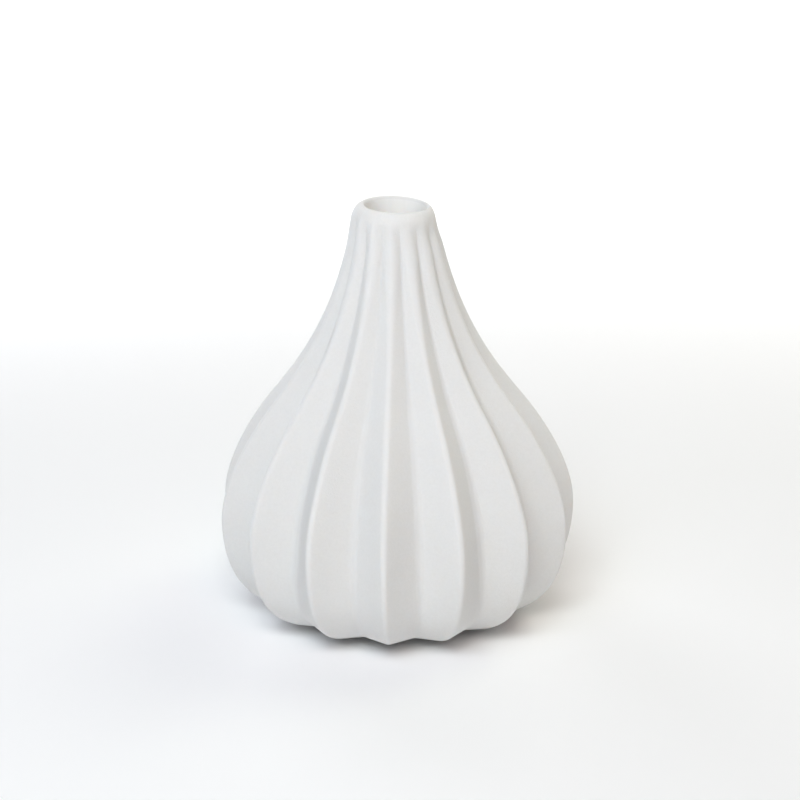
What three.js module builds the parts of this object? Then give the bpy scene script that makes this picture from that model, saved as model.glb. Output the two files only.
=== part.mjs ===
// A small fluted bud vase: one slip-cast porcelain body and the clear glaze lining inside it.
// Millimetres, +Z up. The vase stands on Z = 0 with its axis on Z and one pleat's crest facing -Y.
import * as THREE from 'three';

// Overall sizes
const VASE_HEIGHT = 116.5;
const BELLY_RADIUS = 50; // axis to a pleat's crest at the widest point
const BELLY_HEIGHT = 29.2;
const SHOULDER_RADIUS = 35.8; // axis to a crest where the belly's curve turns into the neck's
const SHOULDER_HEIGHT = 61;
const SHOULDER_LEAN = 38.7; // degrees in from upright
const NECK_LEAN = 10.4; // degrees in from upright, where the neck meets the lip
const MOUTH_RADIUS = 8.35;
const FOOT_RADIUS = 27; // axis to a crest where the pleats meet the table
const UNDERSIDE_SLOPE = 11.5; // degrees up from the table, where the underside leaves it
const WALL = 3.3;

// Lip: a broad sponged round outside, a tighter one inside
const LIP_OUTER_DROP = 4.3; // from the top of the lip down to where the neck starts
const LIP_INNER_DROP = 0.9;
const LIP_INNER_ROUND = 0.6; // how far the inside round reaches out from the mouth

// How far each curve runs on straight from its end before it turns, as a share of its own reach
const UNDERSIDE_FULLNESS = 0.42;
const BELLY_FULLNESS_BELOW = 0.77;
const BELLY_FULLNESS_ABOVE = 0.37;
const SHOULDER_FULLNESS_BELOW = 0.25;
const SHOULDER_FULLNESS_ABOVE = 0.24;
const NECK_FULLNESS = 0.565;
const LIP_FULLNESS = 0.49;

// Pleats: sharp crests, straight flanks and soft valleys, gone at the top of the lip
const PLEAT_COUNT = 15;
const CREST_ROUND = 1;
const COLLAR_CREST_ROUND = 2.6; // the crests soften on their way up the neck to this
const SOFTENING_KNOT = 0.2; // share of the way from shoulder to top where they begin to
const VALLEY_ROUND_SHARE = 0.05; // of the crest's distance from the axis
const VANISHING_DEPTH = 0.3; // a pleat shallower than this melts into a plain circle
const FOOT_PLEAT_DEPTH = 4;
const BELLY_PLEAT_DEPTH = 8.3;
const SHOULDER_PLEAT_DEPTH = 5.7;
const NECK_PLEAT_DEPTH = 2.45;
const COLLAR_PLEAT_DEPTH = 1;
const COLLAR_BELOW_TOP = 10;
const PLEATS_END_BELOW_TOP = 1.5;
const UNDERSIDE_KNOT = 0.27; // share of the belly's height up to which the foot's depth holds
const DEEPEST_KNOT = 0.12; // share of the way from belly to shoulder where the pleats are deepest
const NECK_KNOT = 0.36; // share of the way from shoulder to top where the neck's depth is set

// Foot and floor
const FOOT_RING_INNER_RADIUS = 19;
const FOOT_RECESS = 1.2;
const FOOT_RECESS_SLOPE = 1.5;

// The hollow follows the outside as a softer wave, because slip fills the backs of the crests
const CREST_FILL_SHARE = 0.45; // extra clay behind a full-depth crest, as a share of the wall

// Glaze lining
const GLAZE_THICKNESS = 0.3;
const GLAZE_GAP = 0.1; // between the lining and the clay
const GLAZE_TOP_BELOW_LIP = 7.5;

// How finely the curves are cut
const LINE_SAMPLES = 120;
const ROWS_BELOW_BELLY = 8;
const ROWS_ABOVE_BELLY = 13;
const ROWS_INSIDE = 14;
const LIP_STEPS = 4;
const INSIDE_POINTS_PER_PLEAT = 4;
const ROW_CROWDING_LOW = 1.8; // rows crowd towards the foot, where the outline turns fastest
const ROW_CROWDING_HIGH = 1.2;
const ROW_CROWDING_INSIDE = 1.3;

const LIP_START = VASE_HEIGHT - LIP_OUTER_DROP;
const LIP_OUTER_RADIUS = MOUTH_RADIUS + WALL;
const LIP_TOP_RADIUS = MOUTH_RADIUS + LIP_INNER_ROUND;
const FLOOR_HEIGHT = FOOT_RECESS + WALL;
const HALF_PITCH = Math.PI / PLEAT_COUNT;

const range = (count) => Array.from({ length: count }, (_, i) => i);
const mix = (a, b, share) => a + (b - a) * share;
const radians = THREE.MathUtils.degToRad;
const point = (across, height) => new THREE.Vector2(across, height);

// The distance across at a height, on a line of points that climbs. Past an end it keeps that end's.
function acrossAt(line, height) {
  const next = line.findIndex((p) => p.y >= height);
  if (next === 0) return line[0].x;
  if (next < 0) return line[line.length - 1].x;
  const a = line[next - 1];
  const b = line[next];
  return mix(a.x, b.x, (height - a.y) / (b.y - a.y));
}

// A line moved square to itself towards the hollow, by a distance that may vary with height.
function movedIn(line, distanceAt) {
  return line.map((p, i) => {
    const before = line[Math.max(i - 1, 0)];
    const after = line[Math.min(i + 1, line.length - 1)];
    const run = after.clone().sub(before).normalize();
    const distance = distanceAt(p.y);
    return point(p.x - run.y * distance, p.y + run.x * distance);
  });
}

// The outermost line of the vase, along a crest from the table to the top of the lip: four curves.
function outline() {
  const foot = point(FOOT_RADIUS, 0);
  const belly = point(BELLY_RADIUS, BELLY_HEIGHT);
  const shoulder = point(SHOULDER_RADIUS, SHOULDER_HEIGHT);
  const lip = point(LIP_OUTER_RADIUS, LIP_START);
  const top = point(LIP_TOP_RADIUS, VASE_HEIGHT);
  const leaning = (lean) => point(-Math.sin(radians(lean)), Math.cos(radians(lean)));
  const ahead = (from, lean, distance) => from.clone().addScaledVector(leaning(lean), distance);
  const undersideReach = UNDERSIDE_FULLNESS * (BELLY_RADIUS - FOOT_RADIUS);
  const middleReach = SHOULDER_HEIGHT - BELLY_HEIGHT;
  const neckReach = LIP_START - SHOULDER_HEIGHT;
  const lipReach = LIP_OUTER_RADIUS - LIP_TOP_RADIUS;
  const curves = [
    new THREE.CubicBezierCurve(
      foot,
      point(FOOT_RADIUS + undersideReach, undersideReach * Math.tan(radians(UNDERSIDE_SLOPE))),
      point(BELLY_RADIUS, BELLY_HEIGHT * (1 - BELLY_FULLNESS_BELOW)),
      belly,
    ),
    new THREE.CubicBezierCurve(
      belly,
      point(BELLY_RADIUS, BELLY_HEIGHT + BELLY_FULLNESS_ABOVE * middleReach),
      ahead(shoulder, SHOULDER_LEAN, -SHOULDER_FULLNESS_BELOW * middleReach),
      shoulder,
    ),
    new THREE.CubicBezierCurve(
      shoulder,
      ahead(shoulder, SHOULDER_LEAN, SHOULDER_FULLNESS_ABOVE * neckReach),
      ahead(lip, NECK_LEAN, (-NECK_FULLNESS * neckReach) / Math.cos(radians(NECK_LEAN))),
      lip,
    ),
    new THREE.CubicBezierCurve(
      lip,
      ahead(lip, NECK_LEAN, LIP_FULLNESS * LIP_OUTER_DROP),
      point(LIP_TOP_RADIUS + LIP_FULLNESS * lipReach, VASE_HEIGHT),
      top,
    ),
  ];
  return curves.flatMap((curve, i) => curve.getPoints(LINE_SAMPLES).slice(i === 0 ? 0 : 1));
}

const crestLine = outline();

// How deep the valleys are cut below the crests, against height.
const depthLine = new THREE.SplineCurve([
  point(FOOT_PLEAT_DEPTH, 0),
  point(FOOT_PLEAT_DEPTH, UNDERSIDE_KNOT * BELLY_HEIGHT),
  point(BELLY_PLEAT_DEPTH, mix(BELLY_HEIGHT, SHOULDER_HEIGHT, DEEPEST_KNOT)),
  point(SHOULDER_PLEAT_DEPTH, SHOULDER_HEIGHT),
  point(NECK_PLEAT_DEPTH, mix(SHOULDER_HEIGHT, VASE_HEIGHT, NECK_KNOT)),
  point(COLLAR_PLEAT_DEPTH, VASE_HEIGHT - COLLAR_BELOW_TOP),
  point(0, VASE_HEIGHT - PLEATS_END_BELOW_TOP),
]).getPoints(LINE_SAMPLES * 2);
const valleyLine = crestLine.map((p) => point(p.x - acrossAt(depthLine, p.y), p.y));

// A point at an angle from the front crest, turning towards +X.
function polar(radius, angle, height) {
  return [radius * Math.sin(angle), -radius * Math.cos(angle), height];
}

function circle(radius, height) {
  const count = PLEAT_COUNT * INSIDE_POINTS_PER_PLEAT;
  return range(count).map((i) => polar(radius, (2 * Math.PI * i) / count, height));
}

// Half a pleat seen from above, from crest to valley: the crest's round, the straight flank that
// touches both rounds, and the valley's round. Each point is [radius, angle]. The flank never
// turns less than half a pitch, so that where the pleats are shallow it still meets its neighbour.
function halfPleat(height) {
  const crest = acrossAt(crestLine, height);
  const depth = acrossAt(depthLine, height);
  const valleyRound = VALLEY_ROUND_SHARE * crest;
  const softening = THREE.MathUtils.smoothstep(
    height,
    mix(SHOULDER_HEIGHT, VASE_HEIGHT, SOFTENING_KNOT),
    VASE_HEIGHT - COLLAR_BELOW_TOP,
  );
  const crestRound = mix(CREST_ROUND, COLLAR_CREST_ROUND, softening);
  const crestCentre = point(0, crest - crestRound);
  const outward = point(Math.sin(HALF_PITCH), Math.cos(HALF_PITCH));
  const valleyCentre = outward.clone().multiplyScalar(crest - depth + valleyRound);
  const between = valleyCentre.clone().sub(crestCentre);
  const turn = Math.asin(Math.min((crestRound + valleyRound) / between.length(), 1));
  const slope = Math.max(turn - Math.atan2(between.y, between.x), HALF_PITCH);
  const facing = (angle) => point(Math.sin(angle), Math.cos(angle));
  const onCrest = (angle) => facing(angle).multiplyScalar(crestRound).add(crestCentre);
  const onValley = (angle) => facing(angle).multiplyScalar(-valleyRound).add(valleyCentre);
  const points = [
    onCrest(0),
    onCrest(slope),
    onValley(slope),
    onValley(mix(slope, HALF_PITCH, 0.5)),
    onValley(HALF_PITCH),
  ];
  const strength = Math.min(depth / VANISHING_DEPTH, 1);
  return points.map((p) => [mix(crest, p.length(), strength), Math.atan2(p.x, p.y)]);
}

function pleatedRing(height) {
  const half = halfPleat(height);
  const mirrored = half.slice(1, -1).reverse();
  return range(PLEAT_COUNT).flatMap((pleat) => {
    const crestAngle = 2 * HALF_PITCH * pleat;
    const nextCrestAngle = crestAngle + 2 * HALF_PITCH;
    return [
      ...half.map(([radius, angle]) => polar(radius, crestAngle + angle, height)),
      ...mirrored.map(([radius, angle]) => polar(radius, nextCrestAngle - angle, height)),
    ];
  });
}

// Heights of the hollow's rows, shared by the clay and the glaze so that their faces stay parallel.
const hollowHeights = range(ROWS_INSIDE + 1).map((row) =>
  mix(FLOOR_HEIGHT, VASE_HEIGHT - GLAZE_TOP_BELOW_LIP, (row / ROWS_INSIDE) ** ROW_CROWDING_INSIDE),
);

// The hollow's wall from its floor up, moved a clearance further in for each face of the glaze.
function hollowRings(clearance) {
  const fill = (height) => 1 + (CREST_FILL_SHARE * acrossAt(depthLine, height)) / BELLY_PLEAT_DEPTH;
  const crests = movedIn(crestLine, (height) => WALL * fill(height) + clearance);
  const valleys = movedIn(valleyLine, () => WALL + clearance);
  const count = PLEAT_COUNT * INSIDE_POINTS_PER_PLEAT;
  return hollowHeights.map((rowHeight, row) => {
    const height = row === 0 ? rowHeight + clearance : rowHeight;
    const crest = acrossAt(crests, height);
    const valley = Math.min(acrossAt(valleys, height), crest);
    return range(count).map((i) => {
      const wave = (1 + Math.cos((2 * Math.PI * i) / INSIDE_POINTS_PER_PLEAT)) / 2;
      return polar(mix(valley, crest, wave), (2 * Math.PI * i) / count, height);
    });
  });
}

function span(a, b) {
  return Math.hypot(a[0] - b[0], a[1] - b[1], a[2] - b[2]);
}

// A closed surface through rings of points. A ring of one point closes an end.
// Each four-sided patch is cut along its shorter diagonal, so parallel skins are cut alike.
function skin(rings) {
  const index = [];
  let start = 0;
  for (let r = 0; r + 1 < rings.length; r += 1) {
    const low = rings[r];
    const high = rings[r + 1];
    const lowSteps = low.length > 1 ? low.length : 0;
    const highSteps = high.length > 1 ? high.length : 0;
    const lowPoint = (i) => start + (i % low.length);
    const highPoint = (i) => start + low.length + (i % high.length);
    let i = 0;
    let j = 0;
    while (i < lowSteps || j < highSteps) {
      const lead = (i + 1) * highSteps - (j + 1) * lowSteps;
      const lowSpan = span(low[(i + 1) % low.length], high[j % high.length]);
      const highSpan = span(low[i % low.length], high[(j + 1) % high.length]);
      const lowIsDue = lead < 0 || (lead === 0 && lowSpan < highSpan);
      if (j >= highSteps || (i < lowSteps && lowIsDue)) {
        index.push(lowPoint(i), lowPoint(i + 1), highPoint(j));
        i += 1;
      } else {
        index.push(lowPoint(i), highPoint(j + 1), highPoint(j));
        j += 1;
      }
    }
    start += low.length;
  }
  const geometry = new THREE.BufferGeometry();
  geometry.setAttribute('position', new THREE.Float32BufferAttribute(rings.flat(2), 3));
  geometry.setIndex(index);
  geometry.computeVertexNormals();
  return geometry;
}

function named(name, geometry, material) {
  const mesh = new THREE.Mesh(geometry, new THREE.MeshStandardMaterial(material));
  mesh.name = name;
  return mesh;
}

// The casting, from the middle of its foot, up the outside, over the lip and down the hollow.
function vaseBody() {
  const foot = [
    [[0, 0, FOOT_RECESS]],
    circle(FOOT_RING_INNER_RADIUS - FOOT_RECESS_SLOPE, FOOT_RECESS),
    circle(FOOT_RING_INNER_RADIUS, 0),
  ];
  const belowBelly = range(ROWS_BELOW_BELLY).map((row) =>
    pleatedRing(BELLY_HEIGHT * (row / ROWS_BELOW_BELLY) ** ROW_CROWDING_LOW),
  );
  const aboveBelly = range(ROWS_ABOVE_BELLY + 1).map((row) => {
    const left = (1 - row / ROWS_ABOVE_BELLY) ** ROW_CROWDING_HIGH;
    return pleatedRing(mix(LIP_START, BELLY_HEIGHT, left));
  });
  const lipTurns = range(LIP_STEPS).map((step) => (Math.PI / 2) * ((step + 1) / LIP_STEPS));
  const lipOutside = lipTurns.map((turn) =>
    pleatedRing(LIP_START + LIP_OUTER_DROP * Math.sin(turn)),
  );
  const lipInside = lipTurns.map((turn) =>
    circle(
      MOUTH_RADIUS + LIP_INNER_ROUND * (1 - Math.sin(turn)),
      VASE_HEIGHT - LIP_INNER_DROP * (1 - Math.cos(turn)),
    ),
  );
  return skin([
    ...foot,
    ...belowBelly,
    ...aboveBelly,
    ...lipOutside,
    ...lipInside,
    ...hollowRings(0).reverse(),
    [[0, 0, FLOOR_HEIGHT]],
  ]);
}

// The lining, from the floor up against the clay, and back down its own face.
function innerGlaze() {
  const face = GLAZE_GAP + GLAZE_THICKNESS;
  return skin([
    [[0, 0, FLOOR_HEIGHT + GLAZE_GAP]],
    ...hollowRings(GLAZE_GAP),
    ...hollowRings(face).reverse(),
    [[0, 0, FLOOR_HEIGHT + face]],
  ]);
}

const budVase = new THREE.Group();
budVase.add(named('vase_body', vaseBody(), { color: 0xe9e6e1, roughness: 0.85, metalness: 0 }));
budVase.add(named('inner_glaze', innerGlaze(), { color: 0xf1eee8, roughness: 0.12, metalness: 0 }));

export default budVase;
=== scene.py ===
import bpy
import math
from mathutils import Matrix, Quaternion, Vector
from mathutils.geometry import interpolate_bezier


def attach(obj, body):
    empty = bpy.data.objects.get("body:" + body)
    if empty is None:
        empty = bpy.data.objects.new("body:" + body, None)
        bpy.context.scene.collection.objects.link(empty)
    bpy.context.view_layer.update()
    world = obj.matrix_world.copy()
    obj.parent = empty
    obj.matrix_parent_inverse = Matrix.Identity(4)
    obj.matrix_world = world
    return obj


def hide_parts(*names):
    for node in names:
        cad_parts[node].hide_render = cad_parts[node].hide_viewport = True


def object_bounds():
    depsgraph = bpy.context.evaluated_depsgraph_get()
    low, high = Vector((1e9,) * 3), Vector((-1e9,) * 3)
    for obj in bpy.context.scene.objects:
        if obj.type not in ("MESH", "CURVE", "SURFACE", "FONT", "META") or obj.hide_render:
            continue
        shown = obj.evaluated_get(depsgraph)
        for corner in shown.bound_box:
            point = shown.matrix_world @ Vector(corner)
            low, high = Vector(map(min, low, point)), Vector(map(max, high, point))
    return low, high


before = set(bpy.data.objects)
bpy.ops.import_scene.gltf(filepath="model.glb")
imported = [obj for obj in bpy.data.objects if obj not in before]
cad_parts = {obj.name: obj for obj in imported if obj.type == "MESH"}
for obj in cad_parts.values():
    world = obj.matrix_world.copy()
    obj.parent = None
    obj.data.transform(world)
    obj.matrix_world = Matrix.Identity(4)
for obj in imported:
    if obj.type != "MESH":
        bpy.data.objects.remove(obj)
cad_low, cad_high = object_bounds()


# ---------------------------------------------------------------------------
# Body
# The vase itself is one slip-cast porcelain shell: foot, fluted belly, neck,
# lip and hollow come out of one plaster mould. It is fired bare, so it stays
# chalky and matt, and its lip and foot ring are rubbed smooth by hand.
# ---------------------------------------------------------------------------
MM = 0.001
vase_height = cad_high.z
belly_radius = -cad_low.y  # one pleat's crest faces -Y at the widest point
belly_height = 29.2 * MM
shoulder_radius = 35.8 * MM
shoulder_height = 61 * MM
shoulder_lean = math.radians(38.7)
neck_lean = math.radians(10.4)
mouth_radius = 8.35 * MM
foot_radius = 27 * MM
underside_slope = math.radians(11.5)
wall = 3.3 * MM

# How far each curve of the outline keeps its end's direction, as a share of its run.
foot_fullness = 0.42
underside_fullness = 0.77
belly_fullness = 0.37
below_shoulder_fullness = 0.25
above_shoulder_fullness = 0.24
neck_fullness = 0.565
lip_fullness = 0.49

lip_outer_drop = 4.3 * MM
lip_inner_drop = 0.9 * MM
lip_inner_round = 0.6 * MM
neck_top = vase_height - lip_outer_drop
neck_top_radius = mouth_radius + wall
lip_top_radius = mouth_radius + lip_inner_round

pleat_count = 15
crest_round = 1.3 * MM
collar_crest_round = 2.6 * MM  # the crests soften on their way up the neck to this
softening_starts = 0.2  # of the way from the shoulder to the top
valley_round_share = 0.05  # of the crest's distance from the axis
vanishing_depth = 0.3 * MM
collar_height = vase_height - 10 * MM
pleats_end = vase_height - 1.5 * MM

foot_pleat_depth = 4 * MM
belly_pleat_depth = 8.3 * MM
shoulder_pleat_depth = 5.7 * MM
neck_pleat_depth = 2.45 * MM
collar_pleat_depth = 1 * MM
deepening_starts = 0.27  # of the belly's height
deepest_at = 0.12  # of the way from the belly to the shoulder
neck_depth_at = 0.36  # of the way from the shoulder to the top

foot_recess = 1.2 * MM
foot_ring_inner = 19 * MM
foot_recess_slope = 1.5 * MM
floor_height = foot_recess + wall


def leaning(angle):
    return Vector((-math.sin(angle), math.cos(angle)))


def along_a_crest(steps):
    """The vase's outline down a crest, from the table to the top of the lip: (radius, height)."""
    foot = Vector((foot_radius, 0))
    belly = Vector((belly_radius, belly_height))
    shoulder = Vector((shoulder_radius, shoulder_height))
    neck_end = Vector((neck_top_radius, neck_top))
    lip_top = Vector((lip_top_radius, vase_height))
    underside_reach = foot_fullness * (belly_radius - foot_radius)
    middle_reach = shoulder_height - belly_height
    neck_reach = neck_top - shoulder_height
    neck_pull = neck_fullness * neck_reach / math.cos(neck_lean)
    lip_across = neck_top_radius - lip_top_radius
    curves = (
        (
            foot,
            foot + underside_reach * Vector((1, math.tan(underside_slope))),
            Vector((belly_radius, (1 - underside_fullness) * belly_height)),
            belly,
        ),
        (
            belly,
            belly + Vector((0, belly_fullness * middle_reach)),
            shoulder - below_shoulder_fullness * middle_reach * leaning(shoulder_lean),
            shoulder,
        ),
        (
            shoulder,
            shoulder + above_shoulder_fullness * neck_reach * leaning(shoulder_lean),
            neck_end - neck_pull * leaning(neck_lean),
            neck_end,
        ),
        (
            neck_end,
            neck_end + lip_fullness * lip_outer_drop * leaning(neck_lean),
            lip_top + Vector((lip_fullness * lip_across, 0)),
            lip_top,
        ),
    )
    line = []
    for start, leaving, arriving, end in curves:
        line += interpolate_bezier(start, leaving, arriving, end, steps)[1 if line else 0:]
    return [point.to_2d() for point in line]


def across_at(line, height):
    """The distance across at a height, on a line that climbs. Past an end it keeps that end's."""
    if height <= line[0].y:
        return line[0].x
    for below, above in zip(line, line[1:]):
        if above.y >= height:
            return below.x + (above.x - below.x) * (height - below.y) / (above.y - below.y)
    return line[-1].x


def smooth_through(knots, steps):
    """A curve through all the knots, with no corners."""
    line = []
    for i in range(len(knots) - 1):
        start, end = knots[i], knots[i + 1]
        pull_in = (end - knots[max(i - 1, 0)]) / 2
        pull_out = (knots[min(i + 2, len(knots) - 1)] - start) / 2
        curve = interpolate_bezier(start, start + pull_in / 3, end - pull_out / 3, end, steps)
        line += curve[1 if line else 0:]
    return [point.to_2d() for point in line]


def between(low, high, share):
    return low + (high - low) * share


# What the pleats' geometry nodes are set to, for the body and for its lining.
pleat_settings = {
    "Pleats": pleat_count,
    "Columns per pleat": 32,
    "Crest share of columns": 0.25,
    "Flank share of columns": 0.3,
    "Full pleat depth": belly_pleat_depth,
    "Vanishing depth": vanishing_depth,
}

crest_line = along_a_crest(90)
depth_line = smooth_through(
    [
        Vector((foot_pleat_depth, 0)),
        Vector((foot_pleat_depth, deepening_starts * belly_height)),
        Vector((belly_pleat_depth, between(belly_height, shoulder_height, deepest_at))),
        Vector((shoulder_pleat_depth, shoulder_height)),
        Vector((neck_pleat_depth, between(shoulder_height, vase_height, neck_depth_at))),
        Vector((collar_pleat_depth, collar_height)),
        Vector((0, pleats_end)),
    ],
    30,
)


def pleated_skin_tree(material):
    """Geometry nodes that turn an outline into a pleated, closed skin.

    The outline is a mesh of points (radius, 0, height). Its "pleat" attribute holds the
    pleat's depth, its crest's round and its valley's round at each point.
    """
    merging_distance = 0.002 * MM
    tree = bpy.data.node_groups.new("pleated_skin", "GeometryNodeTree")
    tree.is_modifier = True

    def socket(name, kind, direction="INPUT"):
        tree.interface.new_socket(name=name, in_out=direction, socket_type=kind)

    socket("Outline", "NodeSocketGeometry")
    socket("Skin", "NodeSocketGeometry", "OUTPUT")
    for name, value in pleat_settings.items():
        socket(name, "NodeSocketInt" if isinstance(value, int) else "NodeSocketFloat")

    def node(kind, **settings):
        made = tree.nodes.new(kind)
        for name, value in settings.items():
            setattr(made, name, value)
        return made

    def feed(made, name, value):
        if isinstance(value, bpy.types.NodeSocket):
            tree.links.new(value, made.inputs[name])
        else:
            made.inputs[name].default_value = value

    def calc(operation, *values):
        made = node("ShaderNodeMath", operation=operation)
        for place, value in enumerate(values):
            feed(made, place, value)
        return made.outputs[0]

    def stretch(value, low, high, new_low, new_high):
        made = node("ShaderNodeMapRange")
        for name, source in zip(
            ("Value", "From Min", "From Max", "To Min", "To Max"),
            (value, low, high, new_low, new_high),
        ):
            feed(made, name, source)
        return made.outputs["Result"]

    def parts(vector):
        made = node("ShaderNodeSeparateXYZ")
        feed(made, "Vector", vector)
        return made.outputs

    def vector(x, y, z):
        made = node("ShaderNodeCombineXYZ")
        for name, value in zip("XYZ", (x, y, z)):
            feed(made, name, value)
        return made.outputs["Vector"]

    def keep(geometry, name, value):
        made = node("GeometryNodeStoreNamedAttribute", data_type="FLOAT", domain="POINT")
        feed(made, "Geometry", geometry)
        feed(made, "Name", name)
        feed(made, "Value", value)
        return made.outputs["Geometry"]

    sizes = node("NodeGroupInput").outputs
    half_pitch = calc("DIVIDE", math.pi, sizes["Pleats"])

    # One pleat's strip: a flat grid, from valley to valley across and along the outline up.
    points = node("GeometryNodeAttributeDomainSize", component="MESH")
    feed(points, "Geometry", sizes["Outline"])
    strip = node("GeometryNodeMeshGrid")
    feed(strip, "Size X", 2.0)
    feed(strip, "Size Y", 1.0)
    feed(strip, "Vertices X", calc("ADD", sizes["Columns per pleat"], 1.0))
    feed(strip, "Vertices Y", points.outputs["Point Count"])
    place = parts(node("GeometryNodeInputPosition").outputs["Position"])
    side, up = place["X"], place["Y"]
    last_row = calc("SUBTRACT", points.outputs["Point Count"], 1.0)
    row = calc("ROUND", calc("MULTIPLY", calc("ADD", up, 0.5), last_row))

    def at_row(attribute):
        made = node("GeometryNodeSampleIndex", data_type="FLOAT_VECTOR")
        feed(made, "Geometry", sizes["Outline"])
        feed(made, "Value", attribute)
        feed(made, "Index", row)
        return parts(made.outputs["Value"])

    on_outline = at_row(node("GeometryNodeInputPosition").outputs["Position"])
    pleat = node("GeometryNodeInputNamedAttribute", data_type="FLOAT_VECTOR")
    feed(pleat, "Name", "pleat")
    section = at_row(pleat.outputs["Attribute"])
    radius, height = on_outline["X"], on_outline["Z"]
    depth, crest_bend, valley_bend = section["X"], section["Y"], section["Z"]

    # The centres of the two rounds, and the slope of the flank that touches both. The flank
    # turns at least half a pitch, so that shallow pleats still meet their neighbours.
    crest_centre = calc("SUBTRACT", radius, crest_bend)
    valley_reach = calc("ADD", calc("SUBTRACT", radius, depth), valley_bend)
    valley_centre_x = calc("MULTIPLY", valley_reach, calc("SINE", half_pitch))
    valley_centre_y = calc("MULTIPLY", valley_reach, calc("COSINE", half_pitch))
    rise = calc("SUBTRACT", valley_centre_y, crest_centre)
    apart = calc("SQRT", calc("MULTIPLY_ADD", rise, rise, calc("POWER", valley_centre_x, 2.0)))
    bends = calc("MINIMUM", calc("DIVIDE", calc("ADD", crest_bend, valley_bend), apart), 1.0)
    tangent = calc("SUBTRACT", calc("ARCSINE", bends), calc("ARCTAN2", rise, valley_centre_x))
    slope = calc("MAXIMUM", tangent, half_pitch)

    # Where a column falls: on the crest's round, the flank or the valley's round.
    across = calc("ABSOLUTE", side)
    crest_end = sizes["Crest share of columns"]
    flank_end = calc("ADD", crest_end, sizes["Flank share of columns"])
    crest_turn = stretch(across, 0.0, crest_end, 0.0, slope)
    flank = stretch(across, crest_end, flank_end, 0.0, 1.0)
    valley_turn = stretch(across, flank_end, 1.0, slope, half_pitch)
    crest_x = calc("MULTIPLY", crest_bend, calc("SINE", crest_turn))
    crest_y = calc("MULTIPLY_ADD", crest_bend, calc("COSINE", crest_turn), crest_centre)
    back = calc("MULTIPLY", valley_bend, -1.0)
    valley_x = calc("MULTIPLY_ADD", back, calc("SINE", valley_turn), valley_centre_x)
    valley_y = calc("MULTIPLY_ADD", back, calc("COSINE", valley_turn), valley_centre_y)
    x = calc("MULTIPLY_ADD", calc("SUBTRACT", valley_x, crest_x), flank, crest_x)
    y = calc("MULTIPLY_ADD", calc("SUBTRACT", valley_y, crest_y), flank, crest_y)

    # Where the pleat is nearly gone, the section melts into a circle.
    strength = calc("MINIMUM", calc("DIVIDE", depth, sizes["Vanishing depth"]), 1.0)
    reach = calc("SQRT", calc("MULTIPLY_ADD", x, x, calc("MULTIPLY", y, y)))
    out = calc("MULTIPLY_ADD", calc("SUBTRACT", reach, radius), strength, radius)
    turn = calc("MULTIPLY", calc("ARCTAN2", x, y), calc("SIGN", side))

    # Two marks for the materials: how near its crest a point is, and how deep its pleat is.
    nearness = stretch(across, 0.0, 1.0, 1.0, 0.0)
    depth_share = calc("DIVIDE", depth, sizes["Full pleat depth"])
    strip_marked = keep(strip.outputs["Mesh"], "crest_nearness", nearness)
    strip_marked = keep(strip_marked, "pleat_depth", depth_share)
    shaped = node("GeometryNodeSetPosition")
    feed(shaped, "Geometry", strip_marked)
    feed(
        shaped,
        "Position",
        vector(
            calc("MULTIPLY", out, calc("SINE", turn)),
            calc("MULTIPLY", calc("MULTIPLY", out, -1.0), calc("COSINE", turn)),
            height,
        ),
    )

    # The strip is repeated round the axis and its edges are joined.
    centres = node("GeometryNodePoints")
    feed(centres, "Count", sizes["Pleats"])
    feed(centres, "Position", (0.0, 0.0, 0.0))
    copies = node("GeometryNodeInstanceOnPoints")
    feed(copies, "Points", centres.outputs[0])
    feed(copies, "Instance", shaped.outputs["Geometry"])
    index = node("GeometryNodeInputIndex").outputs["Index"]
    spin = calc("MULTIPLY", calc("MULTIPLY", half_pitch, 2.0), index)
    feed(copies, "Rotation", vector(0.0, 0.0, spin))
    real = node("GeometryNodeRealizeInstances")
    feed(real, "Geometry", copies.outputs["Instances"])
    joined = node("GeometryNodeMergeByDistance")
    feed(joined, "Geometry", real.outputs["Geometry"])
    feed(joined, "Distance", merging_distance)
    smooth = node("GeometryNodeSetShadeSmooth")
    feed(smooth, "Geometry", joined.outputs["Geometry"])
    finish = node("GeometryNodeSetMaterial")
    feed(finish, "Geometry", smooth.outputs["Geometry"])
    feed(finish, "Material", material)
    skin = node("NodeGroupOutput")
    feed(skin, "Skin", finish.outputs["Geometry"])
    return tree


def pleated_piece(name, rows, material):
    """A plain mesh object from rows of (radius, height, depth, crest round, valley round)."""
    mesh = bpy.data.meshes.new(name)
    mesh.from_pydata([(row[0], 0, row[1]) for row in rows], [], [])
    pleat = mesh.attributes.new("pleat", "FLOAT_VECTOR", "POINT")
    for value, row in zip(pleat.data, rows):
        value.vector = row[2:]
    shape = bpy.data.objects.new(name + "_outline", mesh)
    bpy.context.scene.collection.objects.link(shape)
    modifier = shape.modifiers.new("Pleats", "NODES")
    modifier.node_group = pleated_skin_tree(material)
    for item in modifier.node_group.interface.items_tree:
        if item.name in pleat_settings:
            modifier[item.identifier] = pleat_settings[item.name]
    seen = shape.evaluated_get(bpy.context.evaluated_depsgraph_get())
    piece = bpy.data.objects.new(name, bpy.data.meshes.new_from_object(seen))
    piece.data.name = name
    bpy.context.scene.collection.objects.link(piece)
    bpy.data.objects.remove(shape)  # its modifier goes with it
    return piece


def plain(radius, height):
    """A row with no pleats. Near the axis its crest's round shrinks to stay inside it."""
    crest = min(crest_round, 0.3 * radius)
    return (radius, height, 0.0, crest, valley_round_share * radius)


def eased(height, start, end):
    """0 below the start and 1 above the end, with a smooth climb between."""
    share = min(max((height - start) / (end - start), 0), 1)
    return share * share * (3 - 2 * share)


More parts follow.
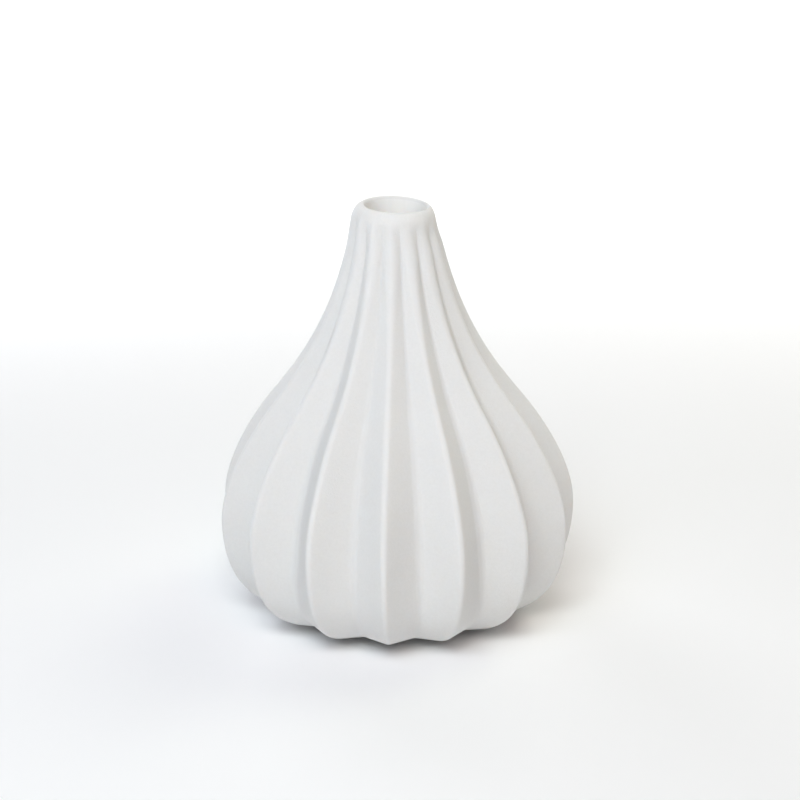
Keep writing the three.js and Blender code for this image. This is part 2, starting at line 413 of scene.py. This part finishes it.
def pleated(height):
    """A row of the outside, with its pleats."""
    radius = across_at(crest_line, height)
    depth = max(across_at(depth_line, height), 0)
    softening_from = between(shoulder_height, vase_height, softening_starts)
    softening = eased(height, softening_from, collar_height)
    crest = between(crest_round, collar_crest_round, softening)
    return (radius, height, depth, crest, valley_round_share * radius)


def moved_in(line, distance_at):
    """The line moved square to itself towards the axis, by a distance for each height."""
    moved = []
    for i, point in enumerate(line):
        run = (line[min(i + 1, len(line) - 1)] - line[max(i - 1, 0)]).normalized()
        moved.append(point + Vector((-run.y, run.x)) * distance_at(point.y))
    return moved


valley_line = [Vector((p.x - across_at(depth_line, p.y), p.y)) for p in crest_line]
crest_fill_share = 0.45  # of the wall, added behind the deepest crests
hollow_crest_round_share = 0.06  # of the distance from the axis, as the next is
hollow_valley_round_share = 0.11
hollow_fades_over = 3 * MM  # above the collar, its wave melts into the round mouth


def up_the_hollow(clearance, top, count):
    """Rows up the hollow's wall, from its floor. The slip fills the backs of the crests."""

    def crest_wall(height):
        fill = crest_fill_share * across_at(depth_line, height) / belly_pleat_depth
        return wall * (1 + fill) + clearance

    crests = moved_in(crest_line, crest_wall)
    valleys = moved_in(valley_line, lambda height: wall + clearance)
    rows = []
    for i in range(count + 1):
        climb = (i / count) ** 1.2  # closer together near the floor
        height = between(floor_height + clearance, top, climb)
        crest = across_at(crests, height)
        depth = max(crest - across_at(valleys, height), 0)
        near_mouth = min(max((height - collar_height) / hollow_fades_over, 0), 1)
        reach = between(crest, mouth_radius - clearance, near_mouth)
        rounds = (hollow_crest_round_share * crest, hollow_valley_round_share * crest)
        rows.append((reach, height, depth * (1 - near_mouth), *rounds))
    return rows


def inside_of_lip(steps):
    """Rows down the small round from the top of the lip into the mouth."""
    rows = []
    for step in range(1, steps + 1):
        turn = math.pi / 2 * step / steps
        radius = mouth_radius + lip_inner_round * (1 - math.sin(turn))
        rows.append(plain(radius, vase_height - lip_inner_drop * (1 - math.cos(turn))))
    return rows


def mark_mouth_painted_light(piece):
    """Painted light inside the mouth: it fades in down the lip's inside round and covers the top
    of the hollow.
    """
    painted_light_end = neck_top - 10 * MM
    light_share = piece.data.attributes.new("mouth_painted_light", "FLOAT", "POINT")
    for vertex, mark in zip(piece.data.vertices, light_share.data):
        height = vertex.co.z
        across = math.hypot(vertex.co.x, vertex.co.y)
        if across <= lip_top_radius and height > painted_light_end:
            mark.value = min((vase_height - height) / lip_inner_drop, 1) ** 2


def rub_lip(piece):
    """The lip was rubbed level by hand, so it dips at one side and the mouth sits off centre."""
    dip = 0.61 * MM
    slope_right, slope_back = -0.052, 0.043
    mouth_shift = 0.7 * MM
    neck_shift = -0.3 * MM
    rubbing_starts, rubbing_full = 104 * MM, 112 * MM
    for vertex in piece.data.vertices:
        point = vertex.co
        rubbed = eased(point.z, rubbing_starts, rubbing_full)
        to_right = point.dot(towards_right)
        to_back = point.dot(towards_back)
        distance = math.hypot(point.x, point.y)
        inwards = (neck_top_radius - distance) / (neck_top_radius - lip_top_radius)
        shift = neck_shift + mouth_shift * min(max(inwards, 0), 1)
        drop = slope_right * to_right + slope_back * to_back - dip
        vertex.co = point + rubbed * (shift * towards_right + Vector((0, 0, drop)))


def bisque():
    """Bare fired porcelain: white, faintly mottled by the slip, chalky, with a sanded grain."""
    clay_white = (0.772, 0.766, 0.752, 1)
    rubbed_and_highlit_clay = (0.785, 0.781, 0.770, 1)  # crests, lip and foot: lighter where rubbed clean, with a painted highlight along the crests
    # A darker grey, for the slip's random mottle and for painted shade in the valleys.
    mottle_and_valley_shade = (0.705, 0.698, 0.680, 1)
    material = bpy.data.materials.new("bisque_porcelain")
    material.use_nodes = True
    nodes, links = material.node_tree.nodes, material.node_tree.links
    shader = nodes["Principled BSDF"]
    shader.inputs["Specular IOR Level"].default_value = 0.3
    shader.inputs["Subsurface Weight"].default_value = 0.5
    shader.inputs["Subsurface Radius"].default_value = (1.0, 0.9, 0.8)
    shader.inputs["Subsurface Scale"].default_value = 2.5 * MM
    place = nodes.new("ShaderNodeTexCoord").outputs["Object"]

    def cloud(grains_per_metre, detail, low, high):
        """A soft random pattern fixed to the clay, spread between two values."""
        noise = nodes.new("ShaderNodeTexNoise")
        noise.inputs["Scale"].default_value = grains_per_metre
        noise.inputs["Detail"].default_value = detail
        links.new(place, noise.inputs["Vector"])
        spread = nodes.new("ShaderNodeMapRange")
        spread.inputs["From Min"].default_value = 0.3
        spread.inputs["From Max"].default_value = 0.7
        spread.inputs["To Min"].default_value = low
        spread.inputs["To Max"].default_value = high
        links.new(noise.outputs["Fac"], spread.inputs["Value"])
        return spread.outputs["Result"]

    def marked(name):
        mark = nodes.new("ShaderNodeAttribute")
        mark.attribute_name = name
        return mark.outputs["Fac"]

    def calc(operation, *values):
        made = nodes.new("ShaderNodeMath")
        made.operation = operation
        for socket, value in zip(made.inputs, values):
            if isinstance(value, bpy.types.NodeSocket):
                links.new(value, socket)
            else:
                socket.default_value = value
        return made.outputs[0]

    def blend(share, low, high):
        made = nodes.new("ShaderNodeMix")
        made.data_type = "RGBA"
        links.new(share, made.inputs["Factor"])
        for socket, value in ((made.inputs[6], low), (made.inputs[7], high)):
            if isinstance(value, bpy.types.NodeSocket):
                links.new(value, socket)
            else:
                socket.default_value = value
        return made.outputs[2]

    # Crests are lighter, partly worn clean by handling and partly a painted highlight. Valleys
    # darken with the depth of their pleat, as painted shade.
    crest = calc("POWER", marked("crest_nearness"), 8.0)
    rubbing_patches = cloud(grains_per_metre=220, detail=3, low=0.35, high=1)
    rubbed_and_highlit = calc("MULTIPLY", crest, rubbing_patches)
    # Painted shade: the valleys darken, the more the deeper their pleat.
    valley = calc("POWER", calc("SUBTRACT", 1.0, marked("crest_nearness")), 5.0)
    valley = calc("MULTIPLY", valley, calc("MINIMUM", marked("pleat_depth"), 1.0))
    painted_valley_shade = calc("MULTIPLY", valley, cloud(grains_per_metre=90, detail=4, low=0.15, high=0.7))
    slip_marks = cloud(grains_per_metre=38, detail=5, low=0, high=0.22)
    speckle = cloud(grains_per_metre=1400, detail=2, low=-0.15, high=0.15)
    mottle = calc("ADD", slip_marks, speckle)
    # The random mottle and the painted valley shade both pull the clay towards the darker grey.
    colour = blend(calc("MAXIMUM", painted_valley_shade, mottle), clay_white, mottle_and_valley_shade)
    # Wear and painted highlight: the crests lighten towards the rubbed clay.
    colour = blend(rubbed_and_highlit, colour, rubbed_and_highlit_clay)

    # Painted light: the clay inside the mouth is painted a lighter white.
    mouth_light_white = (0.93, 0.925, 0.91, 1)
    colour = blend(marked("mouth_painted_light"), colour, mouth_light_white)
    links.new(colour, shader.inputs["Base Color"])

    chalk = cloud(grains_per_metre=600, detail=4, low=0.74, high=0.88)
    smoothing = -0.14  # where the clay is worn
    links.new(calc("MULTIPLY_ADD", rubbed_and_highlit, smoothing, chalk), shader.inputs["Roughness"])

    # Fine sanded grain, over the faint waviness that slip keeps from the plaster.
    sanded_grain = cloud(grains_per_metre=2600, detail=3, low=0, high=1)
    plaster_waves = cloud(grains_per_metre=130, detail=2, low=0, high=1)
    grain = nodes.new("ShaderNodeBump")
    grain.inputs["Distance"].default_value = 0.04 * MM
    grain.inputs["Strength"].default_value = 0.8
    links.new(sanded_grain, grain.inputs["Height"])
    waves = nodes.new("ShaderNodeBump")
    waves.inputs["Distance"].default_value = 0.12 * MM
    waves.inputs["Strength"].default_value = 0.35
    links.new(plaster_waves, waves.inputs["Height"])
    links.new(waves.outputs["Normal"], grain.inputs["Normal"])
    links.new(grain.outputs["Normal"], shader.inputs["Normal"])
    return material


front_turn = math.radians(4.05)  # the side that is looked at, round from -Y
towards_right = Vector((math.cos(front_turn), math.sin(front_turn), 0))
towards_back = Vector((-math.sin(front_turn), math.cos(front_turn), 0))

# The skin is drawn as one line: the underside from its middle out to the foot ring, up the
# outside and over the lip, and back down the hollow to the middle of its floor.
hollow_starts = vase_height - 6 * MM
hollow_rows, lip_rows, rows_a_curve = 40, 7, 30
rows_up = [point.y for point in along_a_crest(rows_a_curve)]
foot_star = pleated(0)
body_rows = [plain(0, foot_recess)]
body_rows += [plain(foot_ring_inner * share, foot_recess) for share in (0.3, 0.6, 0.85)]
body_rows += [plain(foot_ring_inner - foot_recess_slope, foot_recess), plain(foot_ring_inner, 0)]
for share in (0.1, 0.4, 0.7):
    row = zip(plain(foot_ring_inner, 0), foot_star)
    body_rows.append(tuple(between(low, high, share) for low, high in row))
body_rows += [pleated(height) for height in rows_up]
body_rows += inside_of_lip(lip_rows)
body_rows += reversed(up_the_hollow(0, hollow_starts, hollow_rows))
body_rows += [plain(0, floor_height)]
body = pleated_piece("fluted_body", body_rows, bisque())
mark_mouth_painted_light(body)
rub_lip(body)
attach(body, "root")
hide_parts("vase_body")


# ---------------------------------------------------------------------------
# Glaze lining
# A thin coat of clear glaze, poured into the hollow, drained and fired on, so that
# the bare clay holds water. Its edge is wiped clean a little below the lip.
# ---------------------------------------------------------------------------
def glaze():
    """Clear glaze over the white clay: glossy, a touch cooler where it pooled."""
    thin_film = (0.90, 0.895, 0.88, 1)
    pooled = (0.84, 0.85, 0.83, 1)
    material = bpy.data.materials.new("clear_glaze")
    material.use_nodes = True
    nodes, links = material.node_tree.nodes, material.node_tree.links
    shader = nodes["Principled BSDF"]
    shader.inputs["Coat Weight"].default_value = 0.6
    shader.inputs["Coat Roughness"].default_value = 0.06
    place = nodes.new("ShaderNodeTexCoord").outputs["Object"]
    runs = nodes.new("ShaderNodeTexNoise")
    runs.inputs["Scale"].default_value = 70.0
    runs.inputs["Detail"].default_value = 3.0
    links.new(place, runs.inputs["Vector"])

    # It drains down while wet, so it pools near the floor of the hollow.
    height = nodes.new("ShaderNodeSeparateXYZ")
    links.new(place, height.inputs["Vector"])
    pool = nodes.new("ShaderNodeMapRange")
    pool.inputs["From Min"].default_value = floor_height
    pool.inputs["From Max"].default_value = belly_height
    pool.inputs["To Min"].default_value = 0.9
    pool.inputs["To Max"].default_value = 0.15
    links.new(height.outputs["Z"], pool.inputs["Value"])
    share = nodes.new("ShaderNodeMath")
    share.operation = "MULTIPLY"
    links.new(pool.outputs["Result"], share.inputs[0])
    links.new(runs.outputs["Fac"], share.inputs[1])
    colour = nodes.new("ShaderNodeMix")
    colour.data_type = "RGBA"
    colour.inputs[6].default_value = thin_film
    colour.inputs[7].default_value = pooled
    links.new(share.outputs[0], colour.inputs["Factor"])
    links.new(colour.outputs[2], shader.inputs["Base Color"])
    gloss = nodes.new("ShaderNodeMapRange")
    gloss.inputs["To Min"].default_value = 0.08
    gloss.inputs["To Max"].default_value = 0.24
    links.new(runs.outputs["Fac"], gloss.inputs["Value"])
    links.new(gloss.outputs["Result"], shader.inputs["Roughness"])
    ripple = nodes.new("ShaderNodeBump")
    ripple.inputs["Distance"].default_value = 0.1 * MM
    ripple.inputs["Strength"].default_value = 0.3
    links.new(runs.outputs["Fac"], ripple.inputs["Height"])
    links.new(ripple.outputs["Normal"], shader.inputs["Normal"])
    return material


glaze_gap = 0.1 * MM
glaze_thickness = 0.3 * MM
glaze_face = glaze_gap + glaze_thickness
glaze_top = vase_height - 7.5 * MM
glaze_rows = [plain(0, floor_height + glaze_gap)]
glaze_rows += up_the_hollow(glaze_gap, glaze_top, hollow_rows)
glaze_rows += reversed(up_the_hollow(glaze_face, glaze_top, hollow_rows))
glaze_rows += [plain(0, floor_height + glaze_face)]
lining = pleated_piece("glaze_lining", glaze_rows, glaze())
rub_lip(lining)
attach(lining, "root")
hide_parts("inner_glaze")


# ---------------------------------------------------------------------------
# Studio
# The vase stands on a plain pale floor, lit by square soft boxes. Most of the light
# comes from the front, and a wide lamp keeps the floor behind the vase white.
# ---------------------------------------------------------------------------
scene = bpy.context.scene
scene.view_settings.view_transform = "Standard"

floor_mesh = bpy.data.meshes.new("studio_floor")
edge = 3.0
floor_mesh.from_pydata(
    [(-edge, -edge, 0), (edge, -edge, 0), (edge, edge, 0), (-edge, edge, 0)],
    [],
    [(0, 1, 2, 3)],
)
studio_floor = bpy.data.objects.new("studio_floor", floor_mesh)
scene.collection.objects.link(studio_floor)
floor_paint = bpy.data.materials.new("studio_floor")
floor_paint.use_nodes = True
floor_shader = floor_paint.node_tree.nodes["Principled BSDF"]
floor_shader.inputs["Base Color"].default_value = (0.93, 0.93, 0.93, 1)
floor_shader.inputs["Roughness"].default_value = 0.9
floor_mesh.materials.append(floor_paint)

world = bpy.data.worlds.new("studio")
world.use_nodes = True
world.node_tree.nodes["Background"].inputs["Color"].default_value = (0.98, 0.98, 1, 1)
world.node_tree.nodes["Background"].inputs["Strength"].default_value = 0.20
scene.world = world


def softbox(name, turn, lift, watts, colour):
    """A square soft light aimed at the vase's middle.

    It is turned from the camera's side and lifted above the floor, both in degrees.
    """
    size, distance, vase_middle = 0.4, 0.8, Vector((0, 0, 55 * MM))
    lamp = bpy.data.lights.new(name, "AREA")
    lamp.size = size
    lamp.energy = watts
    lamp.color = colour
    box = bpy.data.objects.new(name, lamp)
    scene.collection.objects.link(box)
    turn, lift = math.radians(turn), math.radians(lift)
    aside = math.sin(turn) * towards_right - math.cos(turn) * towards_back
    away = math.cos(lift) * aside + Vector((0, 0, math.sin(lift)))
    box.location = vase_middle + distance * away
    box.rotation_mode = "QUATERNION"
    box.rotation_quaternion = away.to_track_quat("Z", "Y")
    box.visible_camera = False


softbox("key", turn=-10, lift=48, watts=4.00, colour=(0.88, 0.965, 0.95))
softbox("key_warm", turn=15, lift=48, watts=0.48, colour=(1.00, 0.30, 0.20))
softbox("cool_fill_left", turn=-35, lift=48, watts=1.20, colour=(0.70, 0.76, 1.00))
softbox("rim_right", turn=120, lift=48, watts=1.20, colour=(0.98, 1.00, 0.80))
softbox("floor_left", turn=-150, lift=12, watts=2.60, colour=(0.94, 0.96, 1.00))
softbox("floor_right", turn=155, lift=12, watts=1.50, colour=(1.00, 0.96, 0.96))

# One wide lamp hangs over the floor behind the vase and shines straight down.
sweep_light = bpy.data.lights.new("sweep", "AREA")
sweep_light.shape = "RECTANGLE"
sweep_light.size = 3.0
sweep_light.size_y = 1.2
sweep_light.energy = 26
sweep_light.spread = math.radians(90)
sweep_lamp = bpy.data.objects.new("sweep", sweep_light)
scene.collection.objects.link(sweep_lamp)
sweep_lamp.location = 1.3 * towards_back + Vector((0, 0, 0.75))
sweep_lamp.visible_camera = False

# A long lens, looking down a little at the vase's middle.
camera_distance = 548.96 * MM
aim = 1.1 * MM * towards_right + Vector((0, 0, 60.41 * MM))
elevation, roll = math.radians(18.51), math.radians(-0.457)
camera = bpy.data.objects.new("camera", bpy.data.cameras.new("camera"))
scene.collection.objects.link(camera)
scene.camera = camera
camera.data.sensor_width = 36
camera.data.lens = 88.9
towards_camera = (
    -math.cos(elevation) * towards_back + math.sin(elevation) * Vector((0, 0, 1))
)
camera.location = aim + camera_distance * towards_camera
camera.rotation_mode = "QUATERNION"
level = towards_camera.to_track_quat("Z", "Y")
camera.rotation_quaternion = level @ Quaternion((0, 0, 1), roll)
